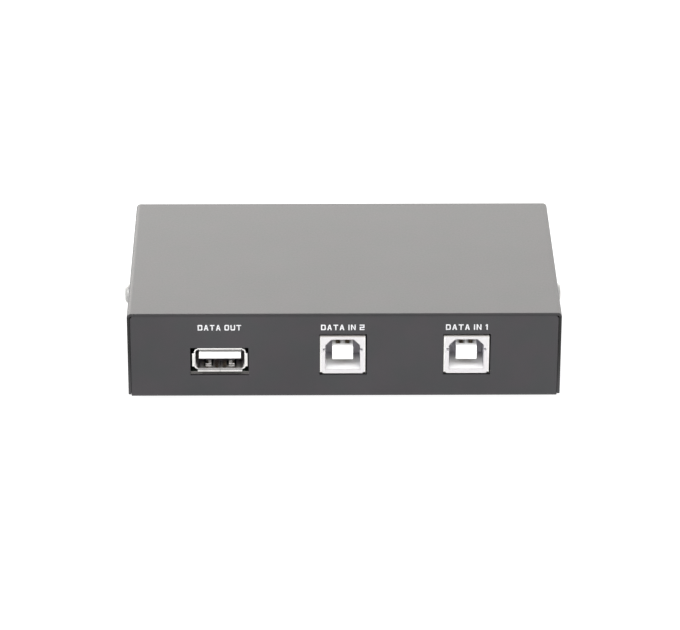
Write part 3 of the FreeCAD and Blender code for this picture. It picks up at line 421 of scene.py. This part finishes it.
def finish_nodes():
    """Gives every CAD node the finish of its slot, and the square sockets' bodies one of their own."""
    finishes = {part["node"]: FINISHES[part["material_slot"]] for part in frame["record"]["subparts"]}
    mouth_half_width = 4.45 * MM
    for number in (1, 2):
        node = f"host_port_{number}_insulator"
        low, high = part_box(node)
        centre = (low.x + high.x) / 2
        finishes[node] = socket_plastic(f"socket_body_{number}", (centre, mouth_half_width))
    for node, finish in finishes.items():
        slots = NODES[node].data.materials
        for index in range(len(slots)):
            slots[index] = finish


finish_nodes()


# ---------------------------------------------------------------- pieces built here


def new_piece(name, mesh, material, body):
    piece = bpy.data.objects.new(name, mesh)
    bpy.context.scene.collection.objects.link(piece)
    mesh.materials.clear()
    mesh.materials.append(material)
    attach(piece, body)
    return piece


def arc(centre, radius, start, end, steps):
    """Points of (radius from the axis, place along it) on an arc, with its angles in degrees."""
    points = []
    for step in range(steps + 1):
        angle = math.radians(start + (end - start) * step / steps)
        points.append((centre[0] + radius * math.cos(angle), centre[1] + radius * math.sin(angle)))
    return points


def smooth_mesh(name, body, crease):
    """The bmesh as a smooth-shaded mesh, sharp where its faces turn by more than crease degrees."""
    bmesh.ops.recalc_face_normals(body, faces=body.faces)
    mesh = bpy.data.meshes.new(name)
    body.to_mesh(mesh)
    body.free()
    mesh.shade_smooth()
    mesh.set_sharp_from_angle(angle=math.radians(crease))
    return mesh


def turned_mesh(name, profile, origin):
    """Turns a profile, whose two ends lie on the axis, about a line along +Y through the origin."""
    segments = 96
    body = bmesh.new()
    rings = []
    for radius, along in profile:
        if radius == 0:
            rings.append([body.verts.new(origin + Vector((0, along, 0)) * MM)])
            continue
        ring = []
        for index in range(segments):
            angle = math.tau * index / segments
            spot = Vector((radius * math.cos(angle), along, radius * math.sin(angle)))
            ring.append(body.verts.new(origin + spot * MM))
        rings.append(ring)
    for ring, following in zip(rings, rings[1:]):
        for index in range(segments):
            after = (index + 1) % segments
            if len(ring) == 1:
                body.faces.new((ring[0], following[after], following[index]))
            elif len(following) == 1:
                body.faces.new((ring[index], ring[after], following[0]))
            else:
                body.faces.new((ring[index], ring[after], following[after], following[index]))
    return smooth_mesh(name, body, 35)


def make_button_cap():
    """The push button's cap, in millimetres: drafted sides, a rounded rim, a dished face, a hollow back."""
    low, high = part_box("button_cap")
    radius = (high.x - low.x) / 2 / MM
    length = (high.y - low.y) / MM
    draft = 0.12
    rim_round = 0.55
    rim_width = 0.35
    dish_depth = 0.42
    hollow, hollow_depth = 3.6, 3.6
    stem_bore, stem_end = 1.8, 6.2
    bevel = 0.15

    rim_radius = radius - draft - rim_round
    dish = rim_radius - rim_width
    sphere = (dish**2 + dish_depth**2) / (2 * dish_depth)
    half_angle = math.degrees(math.asin(dish / sphere))
    profile = [(0, stem_end), (stem_bore, stem_end), (stem_bore, hollow_depth)]
    profile += [(hollow, hollow_depth), (hollow, 0), (radius - bevel, 0), (radius, bevel)]
    profile += arc((rim_radius, length - rim_round), rim_round, 0, 90, 8)
    bowl = arc((0, length - dish_depth + sphere), sphere, half_angle - 90, -90, 14)
    profile += bowl[:-1] + [(0, length - dish_depth)]
    centre = Vector(((low.x + high.x) / 2, low.y, (low.z + high.z) / 2))
    mesh = turned_mesh("dished_button", profile, centre)
    cap = new_piece("dished_button", mesh, FINISHES["button_plastic"], "button")
    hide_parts("button_cap")


def coil_mesh(name, centre, radius, wire_radius, ends, turns, closed):
    """A wire coiled about a line along Y between two ends, with so many closed turns at each end."""
    steps_in_turn = 48
    steps = steps_in_turn * turns
    around = 12
    closed_pitch = 2.1 * wire_radius
    start, end = ends[0] + wire_radius, ends[1] - wire_radius
    open_pitch = (end - start - 2 * closed * closed_pitch) / (turns - 2 * closed)
    body = bmesh.new()
    rings = []
    for step in range(steps + 1):
        turn = turns * step / steps
        opened = min(max(turn - closed, 0), turns - 2 * closed)
        along = start + opened * open_pitch + (turn - opened) * closed_pitch
        outward = Vector((math.cos(math.tau * turn), 0, math.sin(math.tau * turn)))
        middle = Vector((centre.x, along, centre.z)) + outward * radius
        ring = []
        for index in range(around):
            angle = math.tau * index / around
            spot = outward * math.cos(angle) + Vector((0, math.sin(angle), 0))
            ring.append(body.verts.new(middle + spot * wire_radius))
        rings.append(ring)
    for ring, following in zip(rings, rings[1:]):
        for index in range(around):
            after = (index + 1) % around
            body.faces.new((ring[index], ring[after], following[after], following[index]))
    body.faces.new(rings[0])
    body.faces.new(rings[-1])
    return smooth_mesh(name, body, 50)


def make_return_spring():
    """The spring round the button's stem, which is squeezed between switch and cap as the cap goes in."""
    low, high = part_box("return_spring")
    wire_radius = 0.2 * MM
    radius = (high.x - low.x) / 2 - wire_radius
    ends = (low.y, high.y)
    middle = (low + high) / 2
    mesh = coil_mesh("coiled_spring", middle, radius, wire_radius, ends, turns=6, closed=1)
    spring = new_piece("coiled_spring", mesh, FINISHES["spring_steel"], "case")
    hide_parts("return_spring")
    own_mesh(spring)


make_button_cap()
make_return_spring()


# ---------------------------------------------------------------- printed marks


def glyph(letter, w, h, t):
    """The closed outlines of a square-cut letter, w wide and h high with strokes t thick."""
    c = 0.7 * t
    k = 0.35 * t
    mid_low = (h - t) / 2
    mid_high = (h + t) / 2
    outer_round = [(c, 0), (w - c, 0), (w, c), (w, h - c), (w - c, h), (c, h), (0, h - c), (0, c)]
    inner_right = [(w - t - k, t), (w - t, t + k), (w - t, h - t - k), (w - t - k, h - t)]
    if letter == "D":
        outer = [(0, 0), (w - c, 0), (w, c), (w, h - c), (w - c, h), (0, h)]
        return [outer, [(t, t), *inner_right, (t, h - t)]]
    if letter == "O":
        return [outer_round, [(t + k, t), *inner_right, (t + k, h - t), (t, h - t - k), (t, t + k)]]
    if letter == "U":
        inside = [(w - t, h), (w - t, t + k), (w - t - k, t), (t + k, t), (t, t + k), (t, h)]
        return [[(0, h), (0, c), (c, 0), (w - c, 0), (w, c), (w, h), *inside]]
    if letter == "T":
        left, right = (w - t) / 2, (w + t) / 2
        stem = [(left, h - t), (left, 0), (right, 0), (right, h - t)]
        return [[(0, h), (0, h - t), *stem, (w, h - t), (w, h)]]
    if letter == "I":
        return [[(0, 0), (w, 0), (w, h), (0, h)]]
    if letter == "N":
        slant = 1.4 * t
        left = [(0, h), (0, 0), (t, 0), (t, h - slant)]
        return [left + [(w - t, 0), (w, 0), (w, h), (w - t, h), (w - t, slant), (t, h)]]
    if letter == "A":
        foot = 1.15 * t
        peak = h - 1.1 * t

        def leg(height):
            return foot + (w / 2 - foot) * height / peak

        bar = 0.26 * h
        bar_top = bar + 0.8 * t
        outer = [(0, 0), (foot, 0), (leg(bar), bar), (w - leg(bar), bar), (w - foot, 0), (w, 0)]
        outer += [(w / 2 + 0.6 * t, h), (w / 2 - 0.6 * t, h)]
        return [outer, [(leg(bar_top), bar_top), (w - leg(bar_top), bar_top), (w / 2, peak)]]
    if letter == "1":
        flag = [(w - t, h), (0, h - 0.9 * t), (0, h - 1.9 * t), (w - t, h - 1.2 * t)]
        return [[(w - t, 0), (w, 0), (w, h), *flag]]
    if letter == "2":
        lower = [(0, 0), (w, 0), (w, t), (t, t), (t, mid_low), (w, mid_low)]
        return [lower + [(w, h), (0, h), (0, h - t), (w - t, h - t), (w - t, mid_high), (0, mid_high)]]
    raise ValueError("no outline for " + letter)


def printed(name, words, width, height, centre, base, face, side):
    """Words printed on an end panel, so wide and high. side is -1 on the port side, +1 opposite."""
    stroke = 0.30
    tall = height / MM
    full = 1.22
    word_gap = 0.65
    letter_gap = 0.36
    film = 0.02 * MM
    narrow = {"I": stroke, "1": 0.55}
    curve = bpy.data.curves.new(name, "CURVE")
    curve.dimensions = "2D"
    curve.fill_mode = "BOTH"
    curve.extrude = 0.01
    pen = 0
    for letter in words:
        if letter == " ":
            pen += word_gap
            continue
        letter_width = narrow.get(letter, full)
        for loop in glyph(letter, letter_width, tall, stroke):
            line = curve.splines.new("POLY")
            line.points.add(len(loop) - 1)
            line.use_cyclic_u = True
            for point, (x, y) in zip(line.points, loop):
                point.co = (pen + x, y, 0, 1)
        pen += letter_width + letter_gap
    pattern = bpy.data.objects.new(name + "_pattern", curve)
    bpy.context.scene.collection.objects.link(pattern)
    shape = pattern.evaluated_get(bpy.context.evaluated_depsgraph_get())
    mesh = bpy.data.meshes.new_from_object(shape)
    bpy.data.objects.remove(pattern)

    low = Vector(min(v.co[i] for v in mesh.vertices) for i in range(3))
    high = Vector(max(v.co[i] for v in mesh.vertices) for i in range(3))
    size = high - low
    for vertex in mesh.vertices:
        part = [(vertex.co[i] - low[i]) / size[i] for i in range(3)]
        x = centre - side * (part[0] - 0.5) * width
        vertex.co = (x, face + side * part[2] * film, base + part[1] * height)
    return new_piece(name, mesh, INK, "case")


def make_labels():
    """Plain words over the sockets, and a number over each lamp."""
    cap = 1.55 * MM
    base = PANEL_LOW.z + 19.0 * MM
    for socket, words, width in (
        ("device_port", "DATA OUT", 11.0 * MM),
        ("host_port_2", "DATA IN 2", 11.0 * MM),
        ("host_port_1", "DATA IN 1", 10.6 * MM),
    ):
        low, high = SOCKETS[socket]
        printed("label_" + socket, words, width, cap, (low.x + high.x) / 2, base, PANEL_LOW.y, -1)
    for number, width in ((1, 0.55 * MM), (2, 1.22 * MM)):
        low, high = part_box(f"lamp_{number}_lens")
        middle = (low.x + high.x) / 2
        above = high.z + 1.6 * MM
        printed(f"label_lamp_{number}", str(number), width, cap, middle, above, PANEL_HIGH.y, 1)


make_labels()


# ---------------------------------------------------------------- floor and light

SKY_FRONT = 0.85
SKY_OVERHEAD = 0.45
SKY_BACK = 3.6
SKY_LEFT = 1.21
SKY_RIGHT = 0.84
SOFTBOX = 5.0
PAPER = (0.2, 0.2, 0.2)
PAPER_GLOW = 0.95


def make_floor():
    """A flat white floor that glows as a light table does, so that no shadow shows on it."""
    half = 4.0
    mesh = bpy.data.meshes.new("floor")
    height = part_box("rubber_foot_1")[0].z - 0.01 * MM
    corners = [(-half, -half, height), (half, -half, height), (half, half, height), (-half, half, height)]
    mesh.from_pydata(corners, [], [(0, 1, 2, 3)])
    floor = bpy.data.objects.new("floor", mesh)
    bpy.context.scene.collection.objects.link(floor)
    g = Graph("floor_paper")
    g.set(Base_Color=PAPER, Roughness=0.9)
    g.set(Emission_Color=(1.0, 1.0, 1.0), Emission_Strength=PAPER_GLOW)
    g.shader.inputs["Specular IOR Level"].default_value = 0.1
    mesh.materials.append(g.material)


def make_sky():
    """A white studio dome, a little brighter on the left.

    A broad, slightly warm glow stands behind the object, and a softbox hangs in front, halfway up.
    """
    world = bpy.data.worlds.new("studio")
    bpy.context.scene.world = world
    world.use_nodes = True
    tree = world.node_tree
    tree.nodes.clear()

    def add(kind, **settings):
        node = tree.nodes.new(kind)
        for key, value in settings.items():
            setattr(node, key, value)
        return node

    def ranged(source, ends, smooth=True):
        node = add("ShaderNodeMapRange", interpolation_type="SMOOTHSTEP" if smooth else "LINEAR")
        for key, number in zip(("From Min", "From Max", "To Min", "To Max"), ends):
            node.inputs[key].default_value = number
        tree.links.new(source, node.inputs["Value"])
        return node.outputs["Result"]

    def product(first, second):
        node = add("ShaderNodeMath", operation="MULTIPLY")
        tree.links.new(first, node.inputs[0])
        tree.links.new(second, node.inputs[1])
        return node.outputs["Value"]

    output = add("ShaderNodeOutputWorld")
    background = add("ShaderNodeBackground")
    direction = add("ShaderNodeTexCoord")
    split = add("ShaderNodeSeparateXYZ")
    tree.links.new(direction.outputs["Generated"], split.inputs["Vector"])
    near = ranged(split.outputs["Z"], (0.3, 0.85, SKY_FRONT, SKY_OVERHEAD))
    behind = ranged(split.outputs["Y"], (0.15, 0.85, 0, 1))
    depth = add("ShaderNodeMix", data_type="FLOAT")
    tree.links.new(behind, depth.inputs[MIX_FACTOR])
    tree.links.new(near, depth.inputs[NUMBER_A])
    depth.inputs[NUMBER_B].default_value = SKY_BACK
    lower = ranged(split.outputs["Z"], (0.50, 0.62, 0, SOFTBOX))
    upper = ranged(split.outputs["Z"], (0.83, 0.88, 1, 0))
    ahead = ranged(split.outputs["Y"], (-0.38, -0.22, 1, 0))
    box = product(product(lower, upper), ahead)
    total = add("ShaderNodeMath", operation="ADD")
    tree.links.new(box, total.inputs[0])
    tree.links.new(depth.outputs[NUMBER_RESULT], total.inputs[1])
    side = ranged(split.outputs["X"], (-0.35, 0.35, SKY_LEFT, SKY_RIGHT), smooth=False)
    strength = product(total.outputs["Value"], side)
    warmth = add("ShaderNodeMix", data_type="RGBA")
    warmth.inputs[COLOUR_A].default_value = (1.0, 0.995, 1.0, 1)
    warmth.inputs[COLOUR_B].default_value = (1.0, 0.988, 0.955, 1)
    tree.links.new(behind, warmth.inputs[MIX_FACTOR])
    tree.links.new(warmth.outputs[COLOUR_RESULT], background.inputs["Color"])
    tree.links.new(strength, background.inputs["Strength"])
    tree.links.new(background.outputs["Background"], output.inputs["Surface"])


make_floor()
make_sky()

scene = bpy.context.scene
scene.view_settings.view_transform = "Standard"
scene.view_settings.look = "None"
